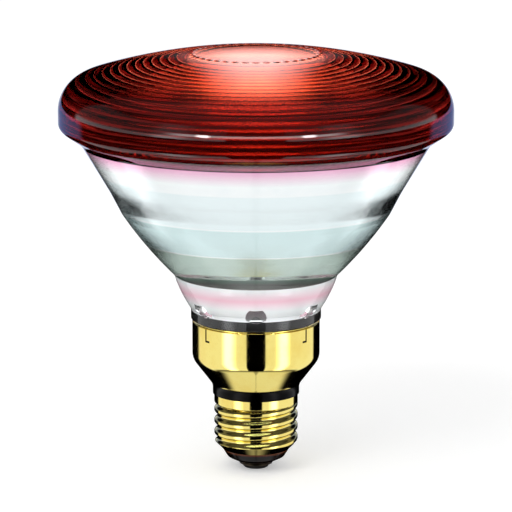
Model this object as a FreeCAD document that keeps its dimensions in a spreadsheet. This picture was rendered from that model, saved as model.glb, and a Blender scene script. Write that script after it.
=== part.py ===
import FreeCAD, Part
import math
import os
import re
import sys

import Sketcher

# A pressed-glass reflector heat lamp with a skirted screw cap. Millimetres.
# The lamp stands with its cap down: the origin is the middle of the solder on the
# centre contact, at the cap's lowest point, and +Z runs along the axis to the lens.

doc = FreeCAD.newDocument("HeatLamp")

# Driving dimensions: name, value and what it measures
sizes = {
    # Lens
    "rimRadius": (61.0, "widest radius of the lamp, at the lens rim"),
    "rimHeight": (3.55, "height of the rim's upright band"),
    "rimCorner": (2.5, "round lower edge of the rim"),
    "rimSlope": (0.70, "rise of the rim's underside for each mm outwards"),
    "domeRadius": (180.0, "sphere radius of the outside of the lens"),
    "shoulderRadius": (11.0, "round edge between dome and rim"),
    "lensFront": (4.0, "glass thickness at the front of the lens"),
    "lensRimWall": (6.0, "glass thickness at the rim"),
    "ribStart": (22.0, "radius of the plain middle of the lens"),
    "ribPitch": (2.5, "distance between two ring ribs"),
    "ribDepth": (0.7, "height of a ring rib"),
    # Seam and reflector bowl
    "seamInset": (6.5, "distance of the fused seam's edge inside the rim"),
    "seamWall": (4.0, "width of the fused seam"),
    "coneInset": (10.7, "inward slope of the bowl from the seam to the mould ledge"),
    "coneRise": (18.0, "height of the bowl's cone between ledge and seam"),
    "ledgeBand": (1.2, "height of the ledge's upright band"),
    "bowlRise": (22.9, "height of the lower bowl below the ledge"),
    "bowlCurve": (127.0, "curve radius of the lower bowl"),
    "vertexDepth": (6.4, "depth of the mirror's vertex below the floor"),
    "zoneOne": (0.80, "foot of the first mirror zone, as a share of the bowl's depth"),
    "zoneTwo": (0.515, "foot of the second mirror zone"),
    "zoneThree": (0.29, "foot of the third mirror zone"),
    "floorRise": (0.7, "height of the bowl's floor above the bowl's foot"),
    "floorThick": (3.4, "glass thickness of the floor"),
    # Neck
    "neckRing": (2.3, "height of the ring above the neck"),
    "neckRingInset": (0.7, "inward slope of that ring"),
    "neckHeight": (8.7, "height of the neck's side above the lip"),
    "neckFlare": (5.2, "widening of the neck from the lip to the bowl's foot"),
    "neckCurve": (45.0, "curve radius of the neck's side"),
    "lipProud": (0.8, "how far the glass lip stands outside the skirt"),
    "lipHeight": (3.3, "height of the glass lip"),
    "heelRise": (1.7, "height above the lip where the neck's bore narrows to the heel"),
    "neckWall": (3.0, "glass thickness of the neck"),
    "neckDepth": (8.0, "length of neck glass inside the skirt"),
    "lugRadius": (3.0, "radius of a pressed lug on the heel"),
    "lugProud": (0.8, "how far a lug stands into the bore"),
    # Cap
    "skirtRadius": (19.5, "outer radius of the skirt"),
    "skirtSide": (12.2, "height of the skirt's straight side"),
    "skirtCone": (8.4, "height of the skirt's narrowing part"),
    "collarHeight": (3.1, "height of the skirt's collar"),
    "sheet": (0.4, "brass thickness of the skirt and shell"),
    "slitDrop": (0.7, "brass left above a crimp slit"),
    "slitLength": (4.1, "length of a crimp slit"),
    "slitWidth": (0.6, "width of a crimp slit"),
    "slitFoot": (1.9, "length of the slit's short foot"),
    "slitAngle": (51.0, "angle from the front to a slit, in degrees"),
    "threadCrest": (13.1, "outer radius of the screw thread"),
    "threadDepth": (0.95, "depth of the screw thread"),
    "threadPitch": (3.629, "pitch of the screw thread, seven turns to the inch"),
    "threadLand": (1.0, "width of a thread crest"),
    "threadFoot": (3.1, "width of a thread ridge at its root"),
    "threadRun": (15.1, "height of the threaded part"),
    "shellBand": (2.7, "height of the plain band between thread and skirt"),
    "shellLap": (4.0, "length of shell inside the skirt's collar"),
    "waistInset": (1.55, "inward turn of the shell's end, from the thread's root"),
    "insulatorFlare": (2.6, "height of the insulator's wide cone, up to the shell"),
    "insulatorFoot": (1.9, "height of the insulator's narrow cone, above the contact"),
    "stepInset": (1.6, "inward slope of the wide cone"),
    "contactRadius": (5.2, "radius of the centre contact plate"),
    "contactThick": (0.6, "thickness of the contact plate"),
    "solderProud": (1.3, "height of the solder below the plate"),
    "solderInset": (0.6, "rim of bare plate round the solder"),
    "solderSlope": (0.9, "inward slope of the solder's edge"),
    # Inside
    "sideGap": (2.15, "distance from the side wire's axis to the shell's inside"),
    "ferruleRadius": (3.0, "outer radius of a ferrule's cup"),
    "flangeWidth": (1.2, "width of a ferrule's flange"),
    "ferruleWall": (0.5, "wall of a ferrule"),
    "ferruleProud": (1.0, "how far a ferrule stands above the floor"),
    "leadRadius": (0.8, "radius of an inner lead wire"),
    "leadBend": (2.0, "bend radius of an inner lead wire"),
    "leadStraight": (1.0, "level end of an inner lead wire"),
    "beadRadius": (1.4, "radius of the glass bridge"),
    "beadRise": (2.6, "height of the glass bridge above the ferrules"),
    "beadOverhang": (1.8, "length of the bridge beyond a lead"),
    "anchorRadius": (0.3, "radius of an anchor wire"),
    "anchorRise": (4.2, "height of the filament above the glass bridge"),
    "filamentWire": (0.32, "thickness of the coiled wire"),
    "filamentLap": (1.4, "length of lead wire inside the coil's end"),
    "coilFit": (0.14, "clearance between a lead wire and the coil round it"),
    "tubeRadius": (2.6, "outer radius of the pump tube"),
    "tubeWall": (0.8, "wall of the pump tube"),
    "tubeLength": (12.0, "length of the pump tube below the floor"),
    "wireRadius": (0.5, "radius of an outer lead wire"),
    "wireBend": (3.0, "bend radius of an outer lead wire"),
    # Fits
    "fit": (0.05, "clearance round a piece that is fused, brazed or pressed in"),
    "skirtFit": (0.15, "clearance between skirt and neck glass"),
    "edgeGap": (0.3, "gap between the skirt's edge and the glass lip"),
}

lugCount = 6
coilTurns = 8

# What follows from the driving dimensions
follows = {
    # Heights, from the contact upwards
    "contactTop": "solderProud + contactThick",
    "insulatorStep": "contactTop + insulatorFoot",
    "shellEnd": "insulatorStep + insulatorFlare",
    "threadTop": "shellEnd + threadRun",
    "collarEnd": "threadTop + shellBand",
    "skirtWaist": "collarEnd + collarHeight",
    "skirtShoulder": "skirtWaist + skirtCone",
    "skirtTop": "skirtShoulder + skirtSide",
    "lipBottom": "skirtTop + edgeGap",
    "neckEnd": "lipBottom - neckDepth",
    "lipTop": "lipBottom + lipHeight",
    "heelTop": "lipTop + heelRise",
    "neckTop": "lipTop + neckHeight",
    "bowlFoot": "neckTop + neckRing",
    "floorTop": "bowlFoot + floorRise",
    "floorBottom": "floorTop - floorThick",
    "mirrorVertex": "floorTop - vertexDepth",
    "ferruleTop": "floorTop + ferruleProud",
    "beadHeight": "ferruleTop + beadRise",
    "filamentHeight": "beadHeight + anchorRise",
    "ledgeFoot": "bowlFoot + bowlRise",
    "ledgeTop": "ledgeFoot + ledgeBand",
    "seamHeight": "ledgeTop + coneRise",
    # Radii of the glass
    "seamRadius": "rimRadius - seamInset",
    "seamInside": "seamRadius - seamWall",
    "ledgeRadius": "seamRadius - coneInset",
    "lensInside": "rimRadius - lensRimWall",
    "lipRadius": "skirtRadius + lipProud",
    "bowlFootRadius": "lipRadius + neckFlare",
    "neckEdge": "bowlFootRadius - neckRingInset",
    "neckRadius": "skirtRadius - sheet - skirtFit",
    "neckInside": "neckRadius - neckWall",
    "heelShelf": "lipRadius - neckWall",
    # Radii of the cap
    "collarRadius": "threadCrest + fit",
    "threadRoot": "threadCrest - threadDepth",
    "shellNeck": "threadCrest - sheet",
    "shellInside": "threadRoot - sheet",
    "insulatorWaist": "threadRoot - waistInset",
    "solderRadius": "contactRadius - solderInset",
    # Lens rim, built up from the seam, and the dome on it
    "rimCosine": "1 / sqrt(1 + rimSlope ^ 2)",
    "cornerEnd": "rimRadius - rimCorner * (1 - rimSlope * rimCosine)",
    "cornerEndHeight": "seamHeight + (cornerEnd - seamRadius) * rimSlope",
    "rimBottom": "cornerEndHeight + rimCorner * rimCosine",
    "rimTop": "rimBottom + rimHeight",
    "domeRise": "sqrt((domeRadius - shoulderRadius) ^ 2 - (rimRadius - shoulderRadius) ^ 2)",
    "domeCentre": "rimTop - domeRise",
    "domeEdge": "(rimRadius - shoulderRadius) / (1 - shoulderRadius / domeRadius)",
    "domeEdgeHeight": "domeCentre + sqrt(domeRadius ^ 2 - domeEdge ^ 2)",
    "crownHeight": "domeCentre + domeRadius",
    "innerDome": "domeRadius - lensFront",
    # Inside
    "mirrorFocus": "seamInside ^ 2 / (4 * (seamHeight - mirrorVertex))",
    "ferruleOffset": "shellInside - sideGap",
    "leadEnd": "ferruleOffset - leadBend - leadStraight",
    "filamentLength": "2 * (leadEnd + filamentLap)",
    "filamentPitch": "filamentLength / %d" % coilTurns,
    "filamentRadius": "leadRadius + coilFit + filamentWire / 2",
    "solderLevel": "collarEnd + shellLap / 2",
}

sheet = doc.addObject("Spreadsheet::Sheet", "Sizes")
for row, (alias, (size, meaning)) in enumerate(sizes.items(), start=1):
    sheet.set("A%d" % row, meaning)
    sheet.set("B%d" % row, str(size))
    sheet.setAlias("B%d" % row, alias)
for row, (alias, formula) in enumerate(follows.items(), start=len(sizes) + 1):
    sheet.set("B%d" % row, "=" + formula)
    sheet.setAlias("B%d" % row, alias)
doc.recompute()


def bound(formula):
    """The formula with each name of the sheet written in full."""
    names = sizes.keys() | follows.keys()
    return re.sub(r"[A-Za-z]\w*", lambda word: "Sizes." + word[0] if word[0] in names else word[0], formula)


def number(formula):
    """What the formula is worth now."""
    return float(sheet.evalExpression(bound(formula)))


def plane(body, role):
    return next(item for item in body.Origin.OriginFeatures if item.Role == role)


def newBody(name):
    body = doc.addObject("PartDesign::Body", name)
    body.Label = name
    return body


def newSketch(body, name, role="XZ_Plane", lift=None):
    """A sketch on one of the body's origin planes, lifted off it by a formula."""
    sketch = body.newObject("Sketcher::SketchObject", name)
    sketch.AttachmentSupport = [(plane(body, role), "")]
    sketch.MapMode = "FlatFace"
    if lift:
        sketch.setExpression(".AttachmentOffset.Base.z", bound(lift))
    return sketch


def bindLast(sketch, formula):
    sketch.setExpression("Constraints[%d]" % (sketch.ConstraintCount - 1), bound(formula))


def pinPoint(sketch, edge, end, across, up):
    """Places one end of an edge by two formulas, with a zero put on the sketch's axis."""
    for kind, axis, formula in (("DistanceX", -2, across), ("DistanceY", -1, up)):
        if formula == "0":
            sketch.addConstraint(Sketcher.Constraint("PointOnObject", edge, end, axis))
        else:
            sketch.addConstraint(Sketcher.Constraint(kind, -1, 1, edge, end, number(formula)))
            bindLast(sketch, formula)


def arcThrough(start, end, radius, turn):
    """The short arc from start to end. turn is 1 where it runs anticlockwise, else -1."""
    chord = end - start
    across = FreeCAD.Vector(-chord.y, chord.x, 0).normalize()
    rise = math.sqrt(radius**2 - (chord.Length / 2) ** 2)
    centre = (start + end) / 2 + across * rise * turn
    first, last = (start, end) if turn > 0 else (end, start)
    angles = [math.atan2(point.y - centre.y, point.x - centre.x) for point in (first, last)]
    return Part.ArcOfCircle(Part.Circle(centre, FreeCAD.Vector(0, 0, 1), radius), *angles)


def drawPath(sketch, path, closed=True):
    """Draws lines and arcs through points (across, up[, radius, turn]), each size a formula.

    A radius and a turn belong to the edge that leaves the point.
    """
    corners = [FreeCAD.Vector(number(point[0]), number(point[1]), 0) for point in path]
    count = len(path) if closed else len(path) - 1
    ends = []
    for i in range(count):
        start, end = corners[i], corners[(i + 1) % len(path)]
        if len(path[i]) == 4:
            radius, turn = path[i][2:]
            edge = sketch.addGeometry(arcThrough(start, end, number(radius), turn), False)
            sketch.addConstraint(Sketcher.Constraint("Radius", edge, number(radius)))
            bindLast(sketch, radius)
            ends.append((1, 2) if turn > 0 else (2, 1))
        else:
            edge = sketch.addGeometry(Part.LineSegment(start, end), False)
            ends.append((1, 2))
    for i in range(count):
        if i:
            joined = Sketcher.Constraint("Coincident", i - 1, ends[i - 1][1], i, ends[i][0])
            sketch.addConstraint(joined)
        pinPoint(sketch, i, ends[i][0], *path[i][:2])
    if closed:
        joined = Sketcher.Constraint("Coincident", count - 1, ends[-1][1], 0, ends[0][0])
        sketch.addConstraint(joined)
    else:
        pinPoint(sketch, count - 1, ends[-1][1], *path[-1][:2])


def drawCircle(sketch, across, up, radius):
    centre = FreeCAD.Vector(number(across), number(up), 0)
    edge = sketch.addGeometry(Part.Circle(centre, FreeCAD.Vector(0, 0, 1), number(radius)), False)
    sketch.addConstraint(Sketcher.Constraint("Radius", edge, number(radius)))
    bindLast(sketch, radius)
    pinPoint(sketch, edge, 3, across, up)


def turned(body, name, path, kind="PartDesign::Revolution"):
    """Turns a closed outline of (radius, height) points round the body's Z axis."""
    sketch = newSketch(body, name + "_profile")
    drawPath(sketch, path)
    turn = body.newObject(kind, name)
    turn.Profile = sketch
    turn.ReferenceAxis = (sketch, ["V_Axis"])
    turn.Angle = 360
    return turn


def bored(body, name, across, radius, bottom, top):
    """Cuts a round upright hole between two heights."""
    sketch = newSketch(body, name + "_profile", "XY_Plane", bottom)
    drawCircle(sketch, across, "0", radius)
    hole = body.newObject("PartDesign::Pocket", name)
    hole.Profile = sketch
    hole.Reversed = True
    hole.setExpression("Length", bound("(%s) - (%s)" % (top, bottom)))
    return hole


def around(body, name, feature, count):
    """Repeats a feature round the Z axis."""
    pattern = body.newObject("PartDesign::PolarPattern", name)
    pattern.Originals = [feature]
    pattern.Axis = (plane(body, "Z_Axis"), [""])
    pattern.Angle = 360
    pattern.Occurrences = count
    body.Tip = pattern
    return pattern


def piped(body, name, path, radius):
    """A round wire along an open path in the XZ plane that starts straight up or down."""
    spine = newSketch(body, name + "_path")
    drawPath(spine, path, closed=False)
    section = newSketch(body, name + "_section", "XY_Plane", path[0][1])
    drawCircle(section, path[0][0], "0", radius)
    wire = body.newObject("PartDesign::AdditivePipe", name)
    wire.Profile = section
    wire.Spine = spine
    return wire


def innerDomeHeight(radius, drop="0"):
    """Height of the lens's inside at a radius."""
    return "domeCentre + sqrt(innerDome ^ 2 - (%s) ^ 2) - %s" % (radius, drop)


def mirrorRadius(height):
    """Radius of the mirror's parabola at a height."""
    return "2 * sqrt(mirrorFocus * (%s - mirrorVertex))" % height


# Red lens: dome, shoulder, rim and underside outside, ring ribs inside
def makeLens():
    body = newBody("red_lens")
    ribCount = int((number("lensInside") - number("ribStart")) / number("ribPitch"))
    inner = [("lensInside", innerDomeHeight("lensInside"))]
    for i in range(ribCount):
        crest = "lensInside - %.1f * ribPitch" % (i + 0.5)
        valley = "lensInside - %d * ribPitch" % (i + 1)
        inner += [(crest, innerDomeHeight(crest, "ribDepth")), (valley, innerDomeHeight(valley))]
    inner[-1] += ("innerDome", 1)
    turned(body, "lens_glass", [
        ("0", "crownHeight", "domeRadius", -1),
        ("domeEdge", "domeEdgeHeight", "shoulderRadius", -1),
        ("rimRadius", "rimTop"),
        ("rimRadius", "rimBottom", "rimCorner", -1),
        ("cornerEnd", "cornerEndHeight"),
        ("seamRadius", "seamHeight"),
        ("seamInside", "seamHeight"),
        ("lensInside", "seamHeight + lensInside - seamInside"),
        *inner,
        ("0", "crownHeight - lensFront"),
    ])


# Glass reflector: bowl with mirror zones, floor and tubular neck, then lugs and holes
def makeReflector():
    body = newBody("glass_reflector")
    zones = ["floorTop + %s * (seamHeight - floorTop)" % share for share in ("zoneThree", "zoneTwo", "zoneOne")]
    turned(body, "reflector_glass", [
        ("seamRadius", "seamHeight"),
        ("ledgeRadius", "ledgeTop"),
        ("ledgeRadius", "ledgeFoot", "bowlCurve", -1),
        ("bowlFootRadius", "bowlFoot"),
        ("neckEdge", "neckTop", "neckCurve", -1),
        ("lipRadius", "lipTop"),
        ("lipRadius", "lipBottom"),
        ("neckRadius", "lipBottom"),
        ("neckRadius", "neckEnd"),
        ("neckInside", "neckEnd"),
        ("neckInside", "heelTop"),
        ("heelShelf", "heelTop"),
        ("neckEdge - neckWall", "floorBottom"),
        ("0", "floorBottom"),
        ("0", "floorTop"),
        (mirrorRadius("floorTop"), "floorTop"),
        *[(mirrorRadius("(%s)" % height), height) for height in zones],
        ("seamInside", "seamHeight"),
    ])
    section = newSketch(body, "lug_section", "XZ_Plane", "neckInside - lugProud")
    drawCircle(section, "0", "heelTop", "lugRadius")
    lug = body.newObject("PartDesign::Pad", "lug")
    lug.Profile = section
    lug.setExpression("Length", bound("heelShelf + neckWall / 2 - (neckInside - lugProud)"))
    around(body, "lugs", lug, lugCount)
    for side, sign in (("left", "-"), ("right", "")):
        across = sign + "ferruleOffset"
        body.Tip = bored(body, "ferrule_hole_" + side, across, "ferruleRadius + fit", "floorBottom", "floorTop")
    body.Tip = bored(body, "pump_hole", "0", "tubeRadius - tubeWall", "floorBottom", "floorTop")


def makeSkirt():
    body = newBody("skirt")
    turned(body, "skirt_sheet", [
        ("skirtRadius", "skirtTop"),
        ("skirtRadius", "skirtShoulder"),
        ("collarRadius", "skirtWaist"),
        ("collarRadius", "collarEnd"),
        ("collarRadius - sheet", "collarEnd"),
        ("collarRadius - sheet", "skirtWaist + sheet / 2"),
        ("skirtRadius - sheet", "skirtShoulder + sheet / 2"),
        ("skirtRadius - sheet", "skirtTop"),
    ])
    # Two slits left and two right of the front, with their feet turned towards it
    high = "skirtTop - slitDrop"
    low = "skirtTop - slitDrop - slitLength"
    for side, turn in (("left", -1), ("right", 1)):
        slit = newSketch(body, "slit_outline_" + side)
        axis = FreeCAD.Vector(0, turn, 0)
        slit.AttachmentOffset = FreeCAD.Placement(FreeCAD.Vector(), FreeCAD.Rotation(axis, number("slitAngle")))
        slit.setExpression(".AttachmentOffset.Rotation.Angle", bound("slitAngle"))
        drawPath(slit, [("%d * (%s)" % (-turn, across), up) for across, up in (
            ("-slitWidth / 2", low),
            ("slitFoot - slitWidth / 2", low),
            ("slitFoot - slitWidth / 2", low + " + slitWidth"),
            ("slitWidth / 2", low + " + slitWidth"),
            ("slitWidth / 2", high),
            ("-slitWidth / 2", high),
        )])
        cut = body.newObject("PartDesign::Pocket", "slit_" + side)
        cut.Profile = slit
        cut.Reversed = True
        cut.setExpression("Length", bound("skirtRadius + sheet"))
        around(body, "slits_" + side, cut, 2)


def makeShell():
    body = newBody("screw_shell")
    turned(body, "shell_sheet", [
        ("shellNeck", "collarEnd + shellLap"),
        ("shellNeck", "collarEnd"),
        ("threadCrest", "collarEnd"),
        ("threadCrest", "threadTop"),
        ("threadRoot", "threadTop - threadDepth"),
        ("threadRoot", "shellEnd + waistInset"),
        ("insulatorWaist", "shellEnd"),
        ("insulatorWaist", "shellEnd + sheet"),
        ("shellInside", "shellEnd + sheet + shellInside - insulatorWaist"),
        ("shellInside", "collarEnd + shellLap"),
    ])
    ridge = newSketch(body, "thread_section")
    low = "shellEnd - threadPitch / 2"
    drawPath(ridge, [
        ("threadRoot - fit", low),
        ("threadRoot - fit", low + " + threadFoot"),
        ("threadCrest", low + " + (threadFoot + threadLand) / 2"),
        ("threadCrest", low + " + (threadFoot - threadLand) / 2"),
    ])
    thread = body.newObject("PartDesign::AdditiveHelix", "thread")
    thread.Profile = ridge
    thread.ReferenceAxis = (ridge, ["V_Axis"])
    thread.Mode = "pitch-height-angle"
    thread.setExpression("Pitch", bound("threadPitch"))
    thread.setExpression("Height", bound("threadRun + (threadPitch - threadFoot) / 2"))
    turned(body, "lead_in", [
        ("insulatorWaist - sheet", "shellEnd - sheet"),
        ("threadCrest + sheet", "shellEnd + threadCrest - insulatorWaist"),
        ("threadCrest + sheet", "shellEnd - threadPitch"),
        ("insulatorWaist - sheet", "shellEnd - threadPitch"),
    ], "PartDesign::Groove")


def makeInsulator():
    body = newBody("base_insulator")
    top = "shellEnd + threadPitch"
    turned(body, "insulator_glass", [
        ("0", "contactTop"),
        ("contactRadius", "contactTop"),
        ("insulatorWaist - stepInset", "insulatorStep"),
        ("insulatorWaist - fit", "shellEnd - fit"),
        ("insulatorWaist - fit", "shellEnd + sheet + fit"),
        ("shellInside - fit", "shellEnd + sheet + fit + shellInside - insulatorWaist"),
        ("shellInside - fit", top),
        ("0", top),
    ])
    body.Tip = bored(body, "wire_hole", "0", "wireRadius + fit", "contactTop", top)


def makeContact():
    plate = newBody("contact_plate")
    turned(plate, "plate_metal", [
        ("wireRadius + fit", "solderProud"),
        ("contactRadius", "solderProud"),
        ("contactRadius", "contactTop"),
        ("wireRadius + fit", "contactTop"),
    ])
    solder = newBody("contact_solder")
    turned(solder, "solder_metal", [
        ("0", "0"),
        ("solderRadius - solderSlope", "0"),
        ("solderRadius", "solderProud"),
        ("0", "solderProud"),
    ])


def makeFerrule(side, sign):
    body = newBody("ferrule_" + side)
    turned(body, "ferrule_metal_" + side, [
        ("0", "ferruleTop"),
        ("ferruleRadius", "ferruleTop"),
        ("ferruleRadius", "floorBottom"),
        ("ferruleRadius + flangeWidth", "floorBottom"),
        ("ferruleRadius + flangeWidth", "floorBottom - ferruleWall"),
        ("ferruleRadius - ferruleWall", "floorBottom - ferruleWall"),
        ("ferruleRadius - ferruleWall", "ferruleTop - ferruleWall"),
        ("0", "ferruleTop - ferruleWall"),
    ])
    body.setExpression(".Placement.Base.x", bound(sign + "ferruleOffset"))


def makeInnerLead(side, sign, turn):
    body = newBody("inner_lead_" + side)
    piped(body, "inner_wire_" + side, [
        (sign + "ferruleOffset", "ferruleTop"),
        (sign + "ferruleOffset", "filamentHeight - leadBend", "leadBend", turn),
        (sign + "(ferruleOffset - leadBend)", "filamentHeight"),
        (sign + "leadEnd", "filamentHeight"),
    ], "leadRadius")


def makeFilament():
    body = newBody("filament")
    section = newSketch(body, "coil_section")
    near = "filamentRadius - filamentWire / 2"
    far = "filamentRadius + filamentWire / 2"
    drawPath(section, [(near, "0"), (far, "0"), (far, "filamentWire"), (near, "filamentWire")])
    coil = body.newObject("PartDesign::AdditiveHelix", "coil")
    coil.Profile = section
    coil.ReferenceAxis = (section, ["V_Axis"])
    coil.Mode = "pitch-height-angle"
    coil.setExpression("Pitch", bound("filamentPitch"))
    coil.setExpression("Height", bound("filamentLength - filamentWire"))
    body.Placement = FreeCAD.Placement(FreeCAD.Vector(), FreeCAD.Rotation(FreeCAD.Vector(1, 0, 1), 180))
    body.setExpression(".Placement.Base.x", bound("-filamentLength / 2"))
    body.setExpression(".Placement.Base.z", bound("filamentHeight"))


def cylinder(name, radius, height, across, bottom):
    """An upright rod with all its sizes bound."""
    rod = doc.addObject("Part::Cylinder", name)
    rod.Label = name
    for size, formula in (("Radius", radius), ("Height", height),
                          (".Placement.Base.x", across), (".Placement.Base.z", bottom)):
        rod.setExpression(size, bound(formula))
    return rod


# Glass bridge between the leads, with the anchor wires that hold the filament
def makeBridge(anchorPlaces):
    rod = cylinder("bead_rod", "beadRadius", "2 * (ferruleOffset + beadOverhang)",
                   "-(ferruleOffset + beadOverhang)", "beadHeight")
    rod.Placement.Rotation = FreeCAD.Rotation(FreeCAD.Vector(0, 1, 0), 90)
    holes = []
    for side, sign in (("left", "-"), ("right", "")):
        holes.append(cylinder("lead_hole_" + side, "leadRadius + fit", "4 * beadRadius",
                              sign + "ferruleOffset", "beadHeight - 2 * beadRadius"))
    for name, across in anchorPlaces.items():
        holes.append(cylinder(name + "_hole", "anchorRadius + fit", "2 * beadRadius", across, "beadHeight"))
        cylinder(name, "anchorRadius", "anchorRise + filamentRadius / 2", across, "beadHeight")
    drilled = doc.addObject("Part::MultiFuse", "bead_holes")
    drilled.Shapes = holes
    bridge = doc.addObject("Part::Cut", "bridge_bead")
    bridge.Label = "bridge_bead"
    bridge.Base = rod
    bridge.Tool = drilled


def makePumpTube():
    body = newBody("exhaust_tube")
    inside = "tubeRadius - tubeWall"
    tip = "floorBottom - tubeLength"
    turned(body, "pump_tube_glass", [
        (inside, "floorBottom"),
        (inside, tip + " + tubeRadius"),
        ("0", tip + " + tubeWall"),
        ("0", tip),
        ("tubeRadius", tip + " + tubeRadius"),
        ("tubeRadius", "floorBottom"),
    ])


def makeOuterLeads():
    top = "ferruleTop - ferruleWall"
    bend = "floorBottom - tubeLength - wireBend"
    centre = newBody("outer_lead_centre")
    piped(centre, "centre_wire", [
        ("ferruleOffset", top),
        ("ferruleOffset", bend, "wireBend", -1),
        ("ferruleOffset - wireBend", bend + " - wireBend"),
        ("wireBend", bend + " - wireBend", "wireBend", 1),
        ("0", bend + " - 2 * wireBend"),
        ("0", "solderProud"),
    ], "wireRadius")
    edge = newBody("outer_lead_side")
    piped(edge, "side_wire", [("-ferruleOffset", top), ("-ferruleOffset", "solderLevel")], "wireRadius")


# Solder that joins the side wire to the inside of the shell
def makeSideSolder():
    ball = doc.addObject("Part::Sphere", "side_solder_ball")
    ball.setExpression("Radius", bound("sideGap - wireRadius - 2 * fit"))
    ball.setExpression(".Placement.Base.x", bound("fit - shellInside"))
    ball.setExpression(".Placement.Base.z", bound("solderLevel"))
    room = cylinder("side_solder_room", "shellInside - fit", "skirtTop", "0", "0")
    solder = doc.addObject("Part::Common", "side_solder")
    solder.Label = "side_solder"
    solder.Base = room
    solder.Tool = ball


def writeParts(names):
    """Checks every object of the document, then writes each sub-part to a file of its own."""
    doc.recompute()
    for item in doc.Objects:
        if {"Invalid", "Error"} & set(item.State):
            sys.exit("%s failed: %s" % (item.Name, item.State))
    os.makedirs("parts", exist_ok=True)
    for name in names:
        shape = doc.getObjectsByLabel(name)[0].Shape
        if shape.isNull() or not shape.isValid():
            sys.exit("%s has no valid shape" % name)
        shape.exportStep("parts/%s.step" % name)
        print("%-20s %9.1f mm3, %d solid(s)" % (name, shape.Volume, len(shape.Solids)))


makeLens()
makeReflector()
makeSkirt()
makeShell()
makeInsulator()
makeContact()
for side, sign, turn in (("left", "-", -1), ("right", "", 1)):
    makeFerrule(side, sign)
    makeInnerLead(side, sign, turn)
anchorPlaces = {
    "anchor_left": "-2 * filamentPitch",
    "anchor_middle": "0",
    "anchor_right": "2 * filamentPitch",
}
makeBridge(anchorPlaces)
makeFilament()
makePumpTube()
makeOuterLeads()
makeSideSolder()

writeParts([
    "red_lens", "glass_reflector", "skirt", "screw_shell", "base_insulator", "contact_plate",
    "contact_solder", "ferrule_left", "ferrule_right", "inner_lead_left", "inner_lead_right",
    "bridge_bead", *anchorPlaces, "filament", "exhaust_tube", "outer_lead_side",
    "outer_lead_centre", "side_solder",
])
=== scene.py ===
import math

import bmesh
import bpy
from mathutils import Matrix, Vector


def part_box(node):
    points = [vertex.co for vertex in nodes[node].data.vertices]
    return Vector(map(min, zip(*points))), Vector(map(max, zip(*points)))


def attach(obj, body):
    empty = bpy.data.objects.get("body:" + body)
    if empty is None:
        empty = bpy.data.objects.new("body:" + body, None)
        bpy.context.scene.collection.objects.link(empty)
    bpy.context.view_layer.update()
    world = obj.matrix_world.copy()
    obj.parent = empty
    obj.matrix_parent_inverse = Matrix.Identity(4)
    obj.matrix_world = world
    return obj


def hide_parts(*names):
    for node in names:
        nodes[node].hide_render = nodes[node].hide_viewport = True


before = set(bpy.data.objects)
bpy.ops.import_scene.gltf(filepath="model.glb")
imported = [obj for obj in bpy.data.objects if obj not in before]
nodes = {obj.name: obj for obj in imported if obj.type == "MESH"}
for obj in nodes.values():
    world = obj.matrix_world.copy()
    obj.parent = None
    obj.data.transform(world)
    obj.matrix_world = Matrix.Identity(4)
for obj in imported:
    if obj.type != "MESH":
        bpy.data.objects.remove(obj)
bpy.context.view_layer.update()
mm = 0.001


# Shapes
def arc(start, end, radius, turn, steps=12):
    # points after start up to end, in (radius, height); turn 1 runs anticlockwise, -1 clockwise
    a, b = Vector(start), Vector(end)
    chord = b - a
    across = Vector((-chord.y, chord.x)).normalized()
    centre = (a + b) / 2 + across * math.sqrt(max(radius**2 - (chord.length / 2) ** 2, 0)) * turn
    first = math.atan2(a.y - centre.y, a.x - centre.x)
    sweep = 2 * math.asin(min(chord.length / 2 / radius, 1)) * turn
    return [(centre.x + radius * math.cos(first + sweep * i / steps),
             centre.y + radius * math.sin(first + sweep * i / steps)) for i in range(1, steps + 1)]


def rounded(points, radius, steps=5, closed=True, reach=0.45):
    # each corner replaced by a small curve that takes at most the reach, a share, of the sides beside it
    count = len(points)
    smooth = []
    for i, point in enumerate(points):
        if not closed and i in (0, count - 1):
            smooth.append(point)
            continue
        corner = Vector(point)
        before, after = Vector(points[i - 1]) - corner, Vector(points[(i + 1) % count]) - corner
        cut = min(radius, before.length * reach, after.length * reach)
        a, b = corner + before.normalized() * cut, corner + after.normalized() * cut
        for step in range(steps + 1):
            t = step / steps
            smooth.append(tuple(a * (1 - t) ** 2 + corner * 2 * t * (1 - t) + b * t**2))
    return smooth


def thickened(points, thickness):
    # the points moved sideways by a sheet's thickness, to the right of their direction
    moved = []
    for i, point in enumerate(points):
        before, after = Vector(points[max(i - 1, 0)]), Vector(points[min(i + 1, len(points) - 1)])
        along = (after - before).normalized()
        moved.append((point[0] + along.y * thickness, point[1] - along.x * thickness))
    return moved


def onCircle(radius, angle, height):
    return radius * math.cos(angle), radius * math.sin(angle), height


def finishMesh(shape, name, sharp):
    bmesh.ops.recalc_face_normals(shape, faces=shape.faces[:])
    mesh = bpy.data.meshes.new(name)
    shape.to_mesh(mesh)
    shape.free()
    mesh.set_sharp_from_angle(angle=math.radians(sharp))
    piece = bpy.data.objects.new(name, mesh)
    bpy.context.collection.objects.link(piece)
    return piece


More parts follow.
